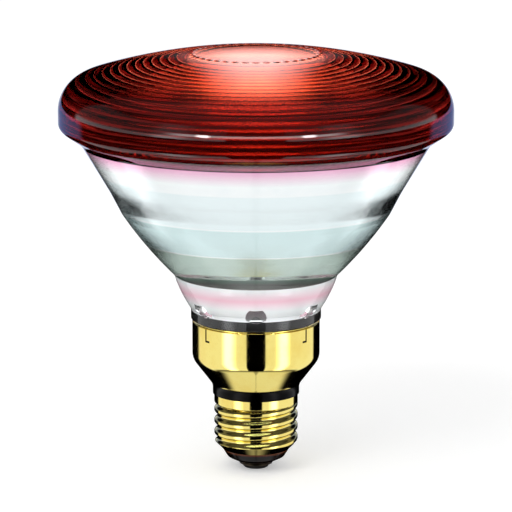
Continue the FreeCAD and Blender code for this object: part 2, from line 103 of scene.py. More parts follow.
def lathe(name, spans, turns=192, closed=True, sharp=35, lift=None):
    # spans: (material index, points) in order; lift(radius, height, angle) moves a point up or down
    points, slots = [], []
    for material, span in spans:
        for point in span:
            points.append(point)
            slots.append(material)
    shape = bmesh.new()
    rings = []
    for radius, height in points:
        if radius < 1e-6:
            rings.append([shape.verts.new((0, 0, height))])
            continue
        ring = []
        for i in range(turns):
            angle = 2 * math.pi * i / turns
            raised = height + (lift(radius, height, angle) if lift else 0)
            ring.append(shape.verts.new(onCircle(radius, angle, raised)))
        rings.append(ring)
    count = len(rings) if closed else len(rings) - 1
    for k in range(count):
        low, high = rings[k], rings[(k + 1) % len(rings)]
        if len(low) == 1 and len(high) == 1:
            continue
        for i in range(turns):
            j = (i + 1) % turns
            if len(low) == 1:
                face = shape.faces.new((low[0], high[j], high[i]))
            elif len(high) == 1:
                face = shape.faces.new((low[i], low[j], high[0]))
            else:
                face = shape.faces.new((low[i], low[j], high[j], high[i]))
            face.material_index = slots[(k + 1) % len(rings)]
            face.smooth = True
    return finishMesh(shape, name, sharp)


def sheetGrid(name, outer, inner, angles, isOpen, materialOf, sharp=35):
    # a sheet between two sets of rings, with openings where isOpen(row, column) says so;
    # angles run anticlockwise from the front
    shape = bmesh.new()
    grids = [[[shape.verts.new(onCircle(radius, angle - math.pi / 2, height)) for angle in angles]
              for radius, height in profile] for profile in (outer, inner)]
    rows, columns = len(outer) - 1, len(angles)

    def add(corners, material):
        face = shape.faces.new(corners)
        face.smooth = True
        face.material_index = material

    for k in range(rows):
        for i in range(columns):
            j = (i + 1) % columns
            if isOpen(k, i):
                continue
            for grid in grids:
                add((grid[k][i], grid[k][j], grid[k + 1][j], grid[k + 1][i]), materialOf(k))
            sides = (((k, i), (k, j), k == 0 or isOpen(k - 1, i)),
                     ((k + 1, i), (k + 1, j), k == rows - 1 or isOpen(k + 1, i)),
                     ((k, i), (k + 1, i), isOpen(k, (i - 1) % columns)),
                     ((k, j), (k + 1, j), isOpen(k, j)))
            for (a, b), (c, d), bare in sides:
                if bare:
                    add((grids[0][a][b], grids[0][c][d], grids[1][c][d], grids[1][a][b]), materialOf(k))
    return finishMesh(shape, name, sharp)


def rod(name, radius, start, end, turns=32, sharp=35):
    # a plain round rod between two points, used to cut or to add
    a, b = Vector(start), Vector(end)
    turnTo = (b - a).to_track_quat("Z", "Y")
    shape = bmesh.new()
    rings = []
    for centre in (a, b):
        circle = [Vector(onCircle(radius, 2 * math.pi * i / turns, 0)) for i in range(turns)]
        rings.append([shape.verts.new(centre + turnTo @ point) for point in circle])
    for i in range(turns):
        j = (i + 1) % turns
        shape.faces.new((rings[0][i], rings[0][j], rings[1][j], rings[1][i]))
    shape.faces.new(rings[0])
    shape.faces.new(rings[1])
    return finishMesh(shape, name, sharp)


def combined(piece, tools, operation, sharp):
    # cuts the tools out of the piece or joins them to it, and drops them
    for tool in tools:
        change = piece.modifiers.new(tool.name, "BOOLEAN")
        change.operation, change.object, change.solver = operation, tool, "EXACT"
    bpy.context.view_layer.update()
    mesh = bpy.data.meshes.new_from_object(piece.evaluated_get(bpy.context.evaluated_depsgraph_get()))
    piece.modifiers.clear()
    piece.data = mesh
    for polygon in mesh.polygons:
        polygon.use_smooth = True
    mesh.set_sharp_from_angle(angle=math.radians(sharp))
    for tool in tools:
        bpy.data.objects.remove(tool)


def dress(piece, materials, slot, *replaced):
    if not piece.data.materials:
        for material in materials:
            piece.data.materials.append(material)
    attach(piece, "root")
    if replaced:
        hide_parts(*replaced)
    return piece


# Node groups
def newGroup(name, inputs, outputs):
    group = bpy.data.node_groups.new(name, "ShaderNodeTree")
    for label, kind, value in inputs:
        socket = group.interface.new_socket(label, in_out="INPUT", socket_type=kind)
        socket.default_value = value
    for label, kind in outputs:
        group.interface.new_socket(label, in_out="OUTPUT", socket_type=kind)
    start, end = group.nodes.new("NodeGroupInput"), group.nodes.new("NodeGroupOutput")
    return group, start, end


def node(tree, kind, values=None, **settings):
    made = tree.nodes.new(kind)
    for key, value in settings.items():
        setattr(made, key, value)
    for key, value in (values or {}).items():
        if isinstance(value, bpy.types.NodeSocket):
            tree.links.new(value, made.inputs[key])
        else:
            made.inputs[key].default_value = value
    return made


def smoothStep(tree, value, low, high):
    # 0 at low, 1 at high; it falls where low is the larger one
    step = node(tree, "ShaderNodeMapRange", {"Value": value, "From Min": low, "From Max": high},
                interpolation_type="SMOOTHSTEP")
    return step.outputs[0]


def calc(tree, operation, a, b=0.0):
    return node(tree, "ShaderNodeMath", {0: a, 1: b}, operation=operation).outputs[0]


def window(tree, value, low, high, soft):
    # 1 between two values, with soft edges
    rise, fall = smoothStep(tree, value, low - soft, low), smoothStep(tree, value, high + soft, high)
    return calc(tree, "MULTIPLY", rise, fall)


def makeWaviness():
    # slow ripples of pressed glass with a fine grain on them, as a height
    group, start, end = newGroup("glassWaviness", [
        ("Ripple Scale", "NodeSocketFloat", 60.0), ("Grain Scale", "NodeSocketFloat", 900.0),
        ("Grain Share", "NodeSocketFloat", 0.1)], [("Height", "NodeSocketFloat")])
    place = node(group, "ShaderNodeTexCoord").outputs["Object"]
    ripple = node(group, "ShaderNodeTexNoise", {"Vector": place, "Scale": start.outputs["Ripple Scale"],
                                                "Detail": 2.0})
    grain = node(group, "ShaderNodeTexNoise", {"Vector": place, "Scale": start.outputs["Grain Scale"],
                                               "Detail": 3.0})
    part = calc(group, "MULTIPLY", grain.outputs["Fac"], start.outputs["Grain Share"])
    group.links.new(calc(group, "ADD", ripple.outputs["Fac"], part), end.inputs["Height"])
    return group


def makeHeightBand():
    # 1 between two heights, with soft edges, 0 outside them
    group, start, end = newGroup("heightBand", [
        ("Low", "NodeSocketFloat", 0.0), ("High", "NodeSocketFloat", 1.0), ("Soft", "NodeSocketFloat", 0.001)],
        [("Mask", "NodeSocketFloat")])
    place = node(group, "ShaderNodeTexCoord").outputs["Object"]
    height = node(group, "ShaderNodeSeparateXYZ", {0: place}).outputs["Z"]
    masks = []
    for first, second in ((height, start.outputs["Low"]), (start.outputs["High"], height)):
        inside = calc(group, "SUBTRACT", first, second)
        share = node(group, "ShaderNodeMath", {0: inside, 1: start.outputs["Soft"]}, operation="DIVIDE",
                     use_clamp=True)
        masks.append(share.outputs[0])
    group.links.new(calc(group, "MULTIPLY", *masks), end.inputs["Mask"])
    return group


def makeHandling():
    # faint cloudy marks left by handling, as a roughness and a mask
    group, start, end = newGroup("handlingMarks", [
        ("Scale", "NodeSocketFloat", 40.0), ("Smooth", "NodeSocketFloat", 0.05),
        ("Rough", "NodeSocketFloat", 0.15)],
        [("Roughness", "NodeSocketFloat"), ("Mask", "NodeSocketFloat")])
    place = node(group, "ShaderNodeTexCoord").outputs["Object"]
    cloud = node(group, "ShaderNodeTexNoise", {"Vector": place, "Scale": start.outputs["Scale"], "Detail": 5.0,
                                              "Roughness": 0.65})
    mask = node(group, "ShaderNodeMapRange", {"Value": cloud.outputs["Fac"], "From Min": 0.42, "From Max": 0.7})
    rough = node(group, "ShaderNodeMapRange", {"Value": mask.outputs[0], "To Min": start.outputs["Smooth"],
                                              "To Max": start.outputs["Rough"]})
    group.links.new(rough.outputs[0], end.inputs["Roughness"])
    group.links.new(mask.outputs[0], end.inputs["Mask"])
    return group


waviness, heightBand, handling = makeWaviness(), makeHeightBand(), makeHandling()


# Materials
def newMaterial(name, **plain):
    material = bpy.data.materials.new(name)
    material.use_nodes = True
    shader = material.node_tree.nodes["Principled BSDF"]
    for key, value in plain.items():
        shader.inputs[key.replace("_", " ")].default_value = value
    return material, material.node_tree, shader


def useGroup(tree, group, **values):
    used = tree.nodes.new("ShaderNodeGroup")
    used.node_tree = group
    for key, value in values.items():
        used.inputs[key.replace("_", " ")].default_value = value
    return used


def mixed(tree, mask, first, second):
    blend = node(tree, "ShaderNodeMix", {"Factor": mask, "A": first, "B": second}, data_type="RGBA")
    return blend.outputs["Result"]


def solid(colour):
    return (*colour, 1)


def handled(tree, shader, look):
    # roughness and colour that change with the handling marks
    marks = useGroup(tree, handling, Scale=look["marks"], Smooth=look["smooth"], Rough=look["rough"])
    tree.links.new(marks.outputs["Roughness"], shader.inputs["Roughness"])
    return mixed(tree, marks.outputs["Mask"], solid(look["first"]), solid(look["second"]))


def textured(tree, shader, look):
    # ripples and grain as bump, under the handling marks
    wave = useGroup(tree, waviness, Ripple_Scale=look["ripple"], Grain_Scale=look["grain"],
                    Grain_Share=look["grainShare"])
    bump = node(tree, "ShaderNodeBump", {"Height": wave.outputs["Height"], "Strength": look["strength"],
                                         "Distance": look["bump"]})
    tree.links.new(bump.outputs["Normal"], shader.inputs["Normal"])
    return handled(tree, shader, look)


def banded(tree, colour, bands):
    # the colour with bands of height over it: low, high, softness and colour
    for low, high, soft, tint in bands:
        band = useGroup(tree, heightBand, Low=low, High=high, Soft=soft)
        colour = mixed(tree, band.outputs["Mask"], colour, solid(tint))
    return colour


glassTexture = {
    "grain": 800.0, "grainShare": 0.03, "bump": 0.3 * mm, "marks": 35.0, "smooth": 0.0, "rough": 0.03, "index": 1.5,
}
silverTexture = {
    "first": (0.97, 0.98, 0.98), "second": (0.92, 0.95, 0.96), "marks": 60.0,
    "ripple": 90.0, "grain": 1500.0, "grainShare": 0.3, "strength": 0.12, "bump": 0.2 * mm,
}
fineTexture = {
    "ripple": 120.0, "grain": 2500.0, "grainShare": 0.2, "strength": 0.04, "bump": 0.1 * mm, "marks": 80.0,
}


def pressedGlass(name, glass):
    look = {**glassTexture, **glass}
    material, tree, shader = newMaterial(name, Transmission_Weight=1.0, Metallic=0.0)
    shader.inputs["IOR"].default_value = look["index"]
    colour = textured(tree, shader, look)
    if "rimPaintedShade" in look:  # painted shade: darker towards the rim, by radius
        place = node(tree, "ShaderNodeSeparateXYZ", {0: node(tree, "ShaderNodeTexCoord").outputs["Object"]})
        flat = node(tree, "ShaderNodeCombineXYZ", {0: place.outputs[0], 1: place.outputs[1]})
        radius = node(tree, "ShaderNodeVectorMath", {0: flat.outputs[0]}, operation="LENGTH").outputs["Value"]
        mask = smoothStep(tree, radius, look["rimShadeStart"], look["rimShadeEnd"])
        colour = mixed(tree, mask, colour, solid(look["rimPaintedShade"]))
    tree.links.new(colour, shader.inputs["Base Color"])
    if "depthColour" in look:  # thick glass is darker than thin glass
        inside = node(tree, "ShaderNodeVolumeAbsorption", {"Color": solid(look["depthColour"]),
                                                           "Density": look["depth"]})
        tree.links.new(inside.outputs["Volume"], tree.nodes["Material Output"].inputs["Volume"])
    return material


def silverCoat(name, metallic, smooth, rough, bands):
    material, tree, shader = newMaterial(name, Metallic=metallic)
    colour = textured(tree, shader, {**silverTexture, "smooth": smooth, "rough": rough})
    tree.links.new(banded(tree, colour, bands), shader.inputs["Base Color"])
    return material


def blackGlass(name, look, bands):
    material, tree, shader = newMaterial(name, Specular_IOR_Level=look["gloss"])
    tree.links.new(banded(tree, handled(tree, shader, look), bands), shader.inputs["Base Color"])
    return material


def fineFinish(name, first, second, smooth, rough, metallic=1.0):
    # metals, and with metallic 0 the cement
    material, tree, shader = newMaterial(name, Metallic=metallic)
    look = {**fineTexture, "first": first, "second": second, "smooth": smooth, "rough": rough}
    tree.links.new(textured(tree, shader, look), shader.inputs["Base Color"])
    return material


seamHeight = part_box("red_lens")[0].z
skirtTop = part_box("skirt")[1].z
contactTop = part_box("contact_plate")[1].z

# bands: low, high, softness and colour
# painted shade and painted reflection: the silver is darker in steps towards the foot, standing in for the darker
# floor it reflects, and a pink glow of the red lens is painted under the seam
silverPaintedReflectionBands = [
    (seamHeight - 20.1 * mm, seamHeight - 8.3 * mm, 0.4 * mm, (0.86, 0.93, 0.94)),
    (seamHeight - 29.4 * mm, seamHeight - 20.1 * mm, 0.3 * mm, (0.70, 0.84, 0.84)),
    (skirtTop + 12.8 * mm, seamHeight - 29.4 * mm, 0.3 * mm, (0.56, 0.66, 0.60)),
    (seamHeight - 5 * mm, seamHeight + 10 * mm, 5 * mm, (0.86, 0.42, 0.62)),
]
# painted reflection: a pink glow of the red lens painted on the funnel's silver by height
neckPaintedPinkGlow = [(skirtTop + 7.2 * mm, skirtTop + 14 * mm, 3.2 * mm, (0.96, 0.60, 0.70))]
# painted glow: a dark red band painted near the top of the black glass
insulatorPaintedGlow = [(contactTop + 3.6 * mm, contactTop + 5.2 * mm, 0.8 * mm, (0.14, 0.035, 0.010))]

redGlass = {
    "first": (0.96, 0.44, 0.26), "second": (0.95, 0.48, 0.29), "ripple": 45.0, "strength": 0.10,
    # painted shade: the glass colour darkens towards the rim between these two radii
    "rimPaintedShade": (0.13, 0.02, 0.017), "rimShadeStart": 37 * mm, "rimShadeEnd": 53 * mm,
    "depthColour": (0.88, 0.08, 0.04), "depth": 100,
}
clearGlass = {"first": (0.985, 0.995, 0.99), "second": (0.97, 0.985, 0.98), "ripple": 40.0, "strength": 0.12}
capGlass = {
    "first": (0.003, 0.002, 0.002), "second": (0.010, 0.004, 0.003), "marks": 90.0, "smooth": 0.06, "rough": 0.2,
    "gloss": 0.2,
}

lensGlass = pressedGlass("red_lens_glass", redGlass)
bowlGlass = pressedGlass("clear_pressed_glass", clearGlass)
silver = silverCoat("silver_coat", 1.0, 0.08, 0.2, silverPaintedReflectionBands)
mattSilver = silverCoat("matt_silver", 0.1, 0.35, 0.5, neckPaintedPinkGlow)
insulatorGlass = blackGlass("black_cap_glass", capGlass, insulatorPaintedGlow)
brass = fineFinish("cap_brass", (0.91, 0.76, 0.23), (0.87, 0.66, 0.16), 0.06, 0.14)
cement = fineFinish("dark_cement", (0.005, 0.004, 0.004), (0.002, 0.002, 0.002), 0.6, 0.9, metallic=0.0)
# painted shade: the brass collar below the cone is coloured black, standing in for the dark reflection at its
# junction
collarPaintedShade = fineFinish("collar_painted_shade", (0.004, 0.004, 0.005), (0.010, 0.009, 0.008), 0.15, 0.3)
# painted shade: the contact plate and the solder are coloured near black, standing in for the dark reflections on
# their metal
contactPaintedDark = fineFinish("contact_brass", (0.035, 0.026, 0.018), (0.02, 0.015, 0.010), 0.25, 0.45)
solderPaintedDark = fineFinish("solder_painted_dark", (0.022, 0.020, 0.019), (0.012, 0.011, 0.010), 0.25, 0.45)
ferruleMetal = fineFinish("ferrule_metal", (0.55, 0.53, 0.50), (0.45, 0.42, 0.38), 0.2, 0.4)
leadMetal = fineFinish("lead_wire", (0.60, 0.58, 0.55), (0.50, 0.46, 0.42), 0.15, 0.35)
filamentMetal = fineFinish("filament_wire", (0.25, 0.24, 0.23), (0.18, 0.17, 0.16), 0.3, 0.5)
print("materials")


# Red lens
lens = {
    "domeRadius": 180 * mm, "shoulderRadius": 11 * mm, "rimCorner": 2.5 * mm, "rimSlope": 0.70,
    "front": 4 * mm, "rimWall": 6 * mm, "ribStart": 22 * mm, "ribPitch": 2.5 * mm, "ribDepth": 0.7 * mm,
    "seamInset": 6.5 * mm, "seamWall": 4 * mm, "rimHeight": 3.55 * mm,
    "wallRibs": 5, "wallRibDepth": 0.45 * mm, "beadRing": 19.6 * mm, "beadWidth": 2.2 * mm, "beadCount": 40,
    "beadRise": 0.12 * mm, "turns": 320, "ringSteps": 8, "domeSteps": 24, "shoulderSteps": 20, "rimSteps": 3,
    "cornerSteps": 8, "ribSteps": 6, "middleSteps": 8, "sharp": 50,
}


def makeLens():
    low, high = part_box("red_lens")
    rim, crown, seam = high.x, high.z, low.z
    dome, shoulder, corner = lens["domeRadius"], lens["shoulderRadius"], lens["rimCorner"]
    centre = crown - dome
    edge = (rim - shoulder) / (1 - shoulder / dome)
    edgeHeight = centre + math.sqrt(dome**2 - edge**2)
    rimTop = centre + math.sqrt((dome - shoulder) ** 2 - (rim - shoulder) ** 2)
    rimBottom = rimTop - lens["rimHeight"]
    cosine = 1 / math.sqrt(1 + lens["rimSlope"] ** 2)
    cornerEnd = rim - corner * (1 - lens["rimSlope"] * cosine)
    cornerEndHeight = rimBottom - corner * cosine
    seamRadius = rim - lens["seamInset"]
    seamInside, inside = seamRadius - lens["seamWall"], rim - lens["rimWall"]
    hollow = dome - lens["front"]

    def domeHeight(radius, sphere, drop=0.0):
        return centre + math.sqrt(sphere**2 - radius**2) - drop

    def beaded(radius, height, angle, tolerance=0.1 * mm):
        # a pressed ring of round beads on the front of the dome
        away = abs(radius - lens["beadRing"]) / (lens["beadWidth"] / 2)
        if away >= 1 or height < domeHeight(radius, dome) - tolerance:
            return 0
        around = 0.5 + 0.5 * math.cos(lens["beadCount"] * angle)
        return lens["beadRise"] * math.cos(math.pi / 2 * away) ** 2 * around

    ringSteps, domeSteps, rimSteps = lens["ringSteps"], lens["domeSteps"], lens["rimSteps"]
    ringStart, ringEnd = lens["beadRing"] - lens["beadWidth"] / 2, lens["beadRing"] + lens["beadWidth"] / 2
    spread = [ringStart * i / ringSteps for i in range(1, ringSteps + 1)]
    spread += [ringStart + (ringEnd - ringStart) * i / ringSteps for i in range(1, ringSteps + 1)]
    spread += [ringEnd + (edge - ringEnd) * i / domeSteps for i in range(1, domeSteps)]
    outer = [(0, crown)] + [(radius, domeHeight(radius, dome)) for radius in spread] + [(edge, edgeHeight)]
    outer += arc(outer[-1], (rim, rimTop), shoulder, -1, lens["shoulderSteps"])
    outer += [(rim, rimTop - lens["rimHeight"] * i / rimSteps) for i in range(1, rimSteps + 1)]
    outer += arc((rim, rimBottom), (cornerEnd, cornerEndHeight), corner, -1, lens["cornerSteps"])
    outer += [(seamRadius, seam), (seamInside, seam)]
    steps = lens["ribSteps"]
    wallFoot, wallTop = seam + inside - seamInside, domeHeight(inside, hollow)
    inner = [(inside, wallFoot)]
    for i in range(lens["wallRibs"] * steps):
        share = (i + 1) / (lens["wallRibs"] * steps)
        wave = math.sin(math.pi * ((i + 1) % steps) / steps)
        inner.append((inside - lens["wallRibDepth"] * wave, wallFoot + (wallTop - wallFoot) * share))
    ribs = int((inside - lens["ribStart"]) / lens["ribPitch"])
    for i in range(ribs * steps):
        radius = inside - (i + 1) / steps * lens["ribPitch"]
        wave = math.sin(math.pi * ((i + 1) % steps) / steps)
        inner.append((radius, domeHeight(radius, hollow, lens["ribDepth"] * wave)))
    last, middleSteps = inner[-1][0], lens["middleSteps"]
    for i in range(1, middleSteps + 1):
        radius = last * (1 - i / middleSteps)
        inner.append((radius, domeHeight(radius, hollow)))
    piece = lathe("lens_glass", [(0, outer), (0, inner)], lens["turns"], closed=False, sharp=lens["sharp"],
                  lift=beaded)
    return dress(piece, [lensGlass], "red_glass", "red_lens")


makeLens()
print("lens")


# Glass reflector
bowl = {
    "coneInset": 10.7 * mm, "coneRise": 18 * mm, "ledgeBand": 1.2 * mm, "bowlRise": 22.9 * mm,
    "bowlCurve": 127 * mm, "bowlSteps": 40, "ledgeBlend": 2.6 * mm, "ledgeRound": 1.5 * mm,
    "vertexDepth": 6.4 * mm, "zones": (0.29, 0.515, 0.80), "floorRise": 0.7 * mm, "floorThick": 3.4 * mm,
    "neckRing": 2.3 * mm, "neckRingInset": 0.7 * mm, "neckHeight": 8.7 * mm, "neckFlare": 5.2 * mm,
    "neckCurve": 45 * mm, "neckSteps": 12, "neckRound": 0.4 * mm, "neckWall": 3 * mm,
    "lipProud": 0.8 * mm, "lipHeight": 3.3 * mm, "heelRise": 1.7 * mm, "cementRise": 2.4 * mm,
    "skirtSheet": 0.4 * mm, "skirtFit": 0.15 * mm, "edgeGap": 0.3 * mm, "slitTop": 0.5 * mm,
    "slitWidth": 0.2 * mm, "lugRadius": 3 * mm, "lugProud": 0.8 * mm, "lugCount": 6, "pumpBore": 1.8 * mm,
    "ferruleBore": 3.05 * mm, "boreReach": 1 * mm, "turns": 256, "sharp": 20,
}


def makeReflector():
    low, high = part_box("glass_reflector")
    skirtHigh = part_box("skirt")[1]
    seam, seamRadius = high.z, high.x
    seamInside = seamRadius - lens["seamWall"]
    lipBottom = skirtHigh.z + bowl["edgeGap"]
    lipTop = lipBottom + bowl["lipHeight"]
    lipRadius = skirtHigh.x + bowl["lipProud"]
    neckTop = lipTop + bowl["neckHeight"]
    footRadius = lipRadius + bowl["neckFlare"]
    foot = neckTop + bowl["neckRing"]
    neckEdge = footRadius - bowl["neckRingInset"]
    floorTop = foot + bowl["floorRise"]
    floorBottom = floorTop - bowl["floorThick"]
    ledgeFoot = foot + bowl["bowlRise"]
    ledgeTop = ledgeFoot + bowl["ledgeBand"]
    ledgeRadius = seamRadius - bowl["coneInset"]
    neckRadius = skirtHigh.x - bowl["skirtSheet"] - bowl["skirtFit"]
    neckInside = neckRadius - bowl["neckWall"]
    heelTop = lipTop + bowl["heelRise"]
    heelShelf = lipRadius - bowl["neckWall"]
    vertex = floorTop - bowl["vertexDepth"]
    focus = seamInside**2 / 4 / (seam - vertex)

    def mirrorRadius(height):
        return 2 * math.sqrt(focus * (height - vertex))

    # the mould ledge is blended softly into the cone above and the curve below it
    blend = bowl["ledgeBlend"]
    aboveLedge = (ledgeRadius + blend * bowl["coneInset"] / bowl["coneRise"], ledgeTop + blend)
    lower = arc((ledgeRadius, ledgeFoot), (footRadius, foot), bowl["bowlCurve"], -1, bowl["bowlSteps"])
    lower = [point for point in lower if point[1] < ledgeFoot - blend]
    outer = rounded([(seamRadius, seam), aboveLedge, lower[0]], bowl["ledgeRound"], 6, closed=False) + lower[1:]
    neck = [outer[-1], (neckEdge, neckTop)]
    neck += arc((neckEdge, neckTop), (lipRadius, lipTop), bowl["neckCurve"], -1, bowl["neckSteps"])
    neck += [(lipRadius, lipBottom), (neckRadius, lipBottom)]
    outer = outer[:-1] + rounded(neck, bowl["neckRound"], 4, closed=False)
    cemented = [(neckRadius, low.z), (neckInside, low.z), (neckInside, lipBottom + bowl["cementRise"])]
    # the silver runs on past the floor's underside in a hairline slit
    edge = neckEdge - bowl["neckWall"]
    slope = (edge - heelShelf) / (floorBottom - heelTop)
    slitTop, slitWidth = floorTop - bowl["slitTop"], bowl["slitWidth"]
    slitEdge = edge + slope * (slitTop - floorBottom)
    funnel = [(neckInside, heelTop), (heelShelf, heelTop), (edge, floorBottom), (slitEdge, slitTop),
              (slitEdge - slitWidth, slitTop), (edge - slitWidth, floorBottom), (0, floorBottom)]
    top = [(mirrorRadius(floorTop), floorTop)]
    for share in bowl["zones"]:
        height = floorTop + share * (seam - floorTop)
        top.append((mirrorRadius(height), height))
    top += [(seamInside, seam)]
    spans = [(0, outer), (2, cemented), (3, funnel), (1, [(0, floorTop)] + top)]
    sharp, reach = bowl["sharp"], bowl["boreReach"]
    piece = lathe("reflector_glass", spans, turns=bowl["turns"], sharp=sharp)
    for material in (bowlGlass, silver, cement, mattSilver):
        piece.data.materials.append(material)
    lugs = []
    for i in range(bowl["lugCount"]):
        angle = 2 * math.pi * i / bowl["lugCount"]
        way = Vector((math.sin(angle), -math.cos(angle), 0))
        height = Vector((0, 0, heelTop))
        lugs.append(rod("lug", bowl["lugRadius"], way * (neckInside - bowl["lugProud"]) + height,
                        way * (heelShelf + bowl["neckWall"] / 2) + height))
    combined(piece, lugs, "UNION", sharp)
    bores = [("pump_hole", bowl["pumpBore"], 0)]
    for side in ("left", "right"):
        a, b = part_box("ferrule_" + side)
        bores.append(("ferrule_hole", bowl["ferruleBore"], (a.x + b.x) / 2))
    holes = [rod(name, radius, (x, 0, floorBottom - reach), (x, 0, floorTop + reach))
             for name, radius, x in bores]
    combined(piece, holes, "DIFFERENCE", sharp)
    return dress(piece, [], "silvered_glass", "glass_reflector")  # its materials are on it already


makeReflector()
print("reflector")


# Skirt of the cap
skirt = {
    "side": 12.2 * mm, "cone": 8.4 * mm, "collarRadius": 13.15 * mm, "sheet": 0.4 * mm, "edgeBreak": 0.05 * mm,
    "edgeDrop": 0.08 * mm, "creaseDrop": 0.45 * mm, "creaseDepth": 0.10 * mm, "creaseHalf": 0.12 * mm,
    "slitDrop": 0.7 * mm, "slitLength": 4.1 * mm, "slitWidth": 0.6 * mm, "slitFoot": 1.9 * mm, "slitAngle": 51,
    "bendStart": 2 * mm, "bendRound": 1.6 * mm, "collarTop": 1.9 * mm, "paintedShadeRise": 0.6 * mm,
    "turns": 180, "turnGap": 0.006, "sharp": 40,
}


def makeSkirt():
    low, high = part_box("skirt")
    radius, top, collar = high.x, high.z, skirt["collarRadius"]
    shoulder = top - skirt["side"]
    waist = shoulder - skirt["cone"]
    slitTop = top - skirt["slitDrop"]
    slitEnd = slitTop - skirt["slitLength"]
    bendStart = slitEnd - skirt["bendStart"]
    crease, creaseHalf = top - skirt["creaseDrop"], skirt["creaseHalf"]
    side = [(radius - skirt["edgeBreak"], top), (radius, top - skirt["edgeDrop"]), (radius, crease + creaseHalf),
            (radius - skirt["creaseDepth"], crease), (radius, crease - creaseHalf), (radius, slitTop),
            (radius, slitEnd + skirt["slitWidth"]), (radius, slitEnd), (radius, bendStart)]
    bend = rounded([(radius, bendStart), (radius, shoulder), (collar, waist), (collar, low.z)],
                   skirt["bendRound"], 10, closed=False)
    outer = side + bend[1:-1] + [(collar, waist - skirt["collarTop"]), (collar, low.z)]
    inner = thickened(outer, -skirt["sheet"])
    inner[0] = (radius - skirt["sheet"], top)
    inner[2:5] = [(radius - skirt["sheet"], outer[k][1]) for k in (2, 3, 4)]
    inner[-1] = (inner[-1][0], low.z)
    half = skirt["slitWidth"] / 2 / radius
    foot = skirt["slitFoot"] / radius - half
    # two slits at the front and two at the back, each with its foot turned to the front or the back
    place = skirt["slitAngle"]
    slits = [(math.radians(angle), way) for angle, way in
             ((place, -1), (360 - place, 1), (180 - place, 1), (180 + place, -1))]
    angles = {round(2 * math.pi * i / skirt["turns"], 6) for i in range(skirt["turns"])}
    marks = set()
    for angle, way in slits:
        marks |= {angle - half, angle + half, angle + way * foot}
    angles = {angle for angle in angles if all(abs(angle - mark) > skirt["turnGap"] for mark in marks)}
    angles = sorted(angles | marks)

    def isOpen(row, column):
        if not 0 <= row < len(outer) - 1:
            return False
        height = (outer[row][1] + outer[row + 1][1]) / 2
        if not slitEnd < height < slitTop:
            return False
        after = angles[(column + 1) % len(angles)] + (2 * math.pi if column == len(angles) - 1 else 0)
        middle = (angles[column] + after) / 2
        for angle, way in slits:
            if abs(middle - angle) < half:
                return True
            if height < slitEnd + skirt["slitWidth"] and 0 < (middle - angle) * way < foot:
                return True
        return False

    def materialOf(row):
        # the collar band below the cone takes the painted shade
        return 1 if outer[row][1] < waist + skirt["paintedShadeRise"] else 0

    piece = sheetGrid("cap_skirt", outer, inner, angles, isOpen, materialOf, sharp=skirt["sharp"])
    return dress(piece, [brass, collarPaintedShade], "cap_brass", "skirt")


makeSkirt()
print("skirt")


# Screw shell with its rolled thread
shell = {
    "crest": 13.1 * mm, "depth": 0.95 * mm, "pitch": 3.629 * mm, "foot": 3.1 * mm, "run": 15.1 * mm,
    "ridgeReach": 1.75 * mm, "ridgeSlope": 1.45 * mm, "runOut": 0.3 * mm, "waist": 1.55 * mm, "sheet": 0.4 * mm,
    "band": 2.7 * mm, "bandRound": 0.12 * mm, "bandEdge": (0.2 * mm, 0.05 * mm),
    "turns": 192, "rowHeight": 0.10 * mm, "rowsPast": 0.6 * mm, "sharp": 60,
}


def makeShell():
    low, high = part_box("screw_shell")
    end, top = low.z, high.z
    threadTop = end + shell["run"]
    bandTop = threadTop + shell["band"]
    root, neck = shell["crest"] - shell["depth"], shell["crest"] - shell["sheet"]
    bore = root - shell["sheet"]
    waist = root - shell["waist"]
    firstRidge = end - shell["pitch"] / 2 + shell["foot"] / 2
    rows = int((threadTop + shell["rowsPast"] - end) / shell["rowHeight"])

    def eased(share):
        share = min(max(share, 0), 1)
        return share * share * (3 - 2 * share)

    def ridge(height, angle):
        # how far the rolled ridge stands out of the root, 0 to 1
        turn = (height - firstRidge) / shell["pitch"] - angle / (2 * math.pi)
        away = abs(turn - round(turn)) * shell["pitch"]
        last = (shell["run"] + shell["runOut"]) / shell["pitch"]
        if round(turn) < 0 or round(turn) + angle / (2 * math.pi) > last:
            return 0
        return eased((shell["ridgeReach"] - away) / shell["ridgeSlope"])

    def radiusAt(height, angle):
        share = max(ridge(height, angle), eased((height - threadTop + shell["depth"]) / shell["depth"]))
        return min(root + shell["depth"] * share, waist + height - end)

    shape = bmesh.new()
    turns = shell["turns"]
    rings = []
    for row in range(rows + 1):
        height = end + shell["rowHeight"] * row
        rings.append([(radiusAt(height, 2 * math.pi * i / turns), height) for i in range(turns)])
    inside = end + shell["sheet"]
    plain = [(shell["crest"], bandTop - drop) for drop in shell["bandEdge"]]
    plain += [(shell["crest"] - shell["bandRound"], bandTop), (neck, bandTop), (neck, top), (bore, top),
              (bore, inside + bore - waist), (waist, inside)]
    rings += [[point] * turns for point in plain]
    made = []
    for ring in rings:
        made.append([shape.verts.new(onCircle(radius, 2 * math.pi * i / turns, height))
                     for i, (radius, height) in enumerate(ring)])
    for k, lower in enumerate(made):
        upper = made[(k + 1) % len(made)]
        for i in range(turns):
            j = (i + 1) % turns
            face = shape.faces.new((lower[i], lower[j], upper[j], upper[i]))
            face.smooth = True
    piece = finishMesh(shape, "cap_shell", shell["sharp"])
    return dress(piece, [brass], "cap_brass", "screw_shell")


makeShell()
print("shell")


# Black glass insulator, contact plate and its solder
base = {
    "wireHole": 0.55 * mm, "stepRise": 1.9 * mm, "stepInset": 1.6 * mm, "flare": 2.6 * mm, "sheet": 0.4 * mm,
    "fit": 0.05 * mm, "solderSlope": 0.9 * mm, "glassRound": 0.35 * mm, "plateRound": 0.12 * mm,
    "dropRound": 0.4 * mm, "glassTurns": 160, "contactTurns": 128,
}


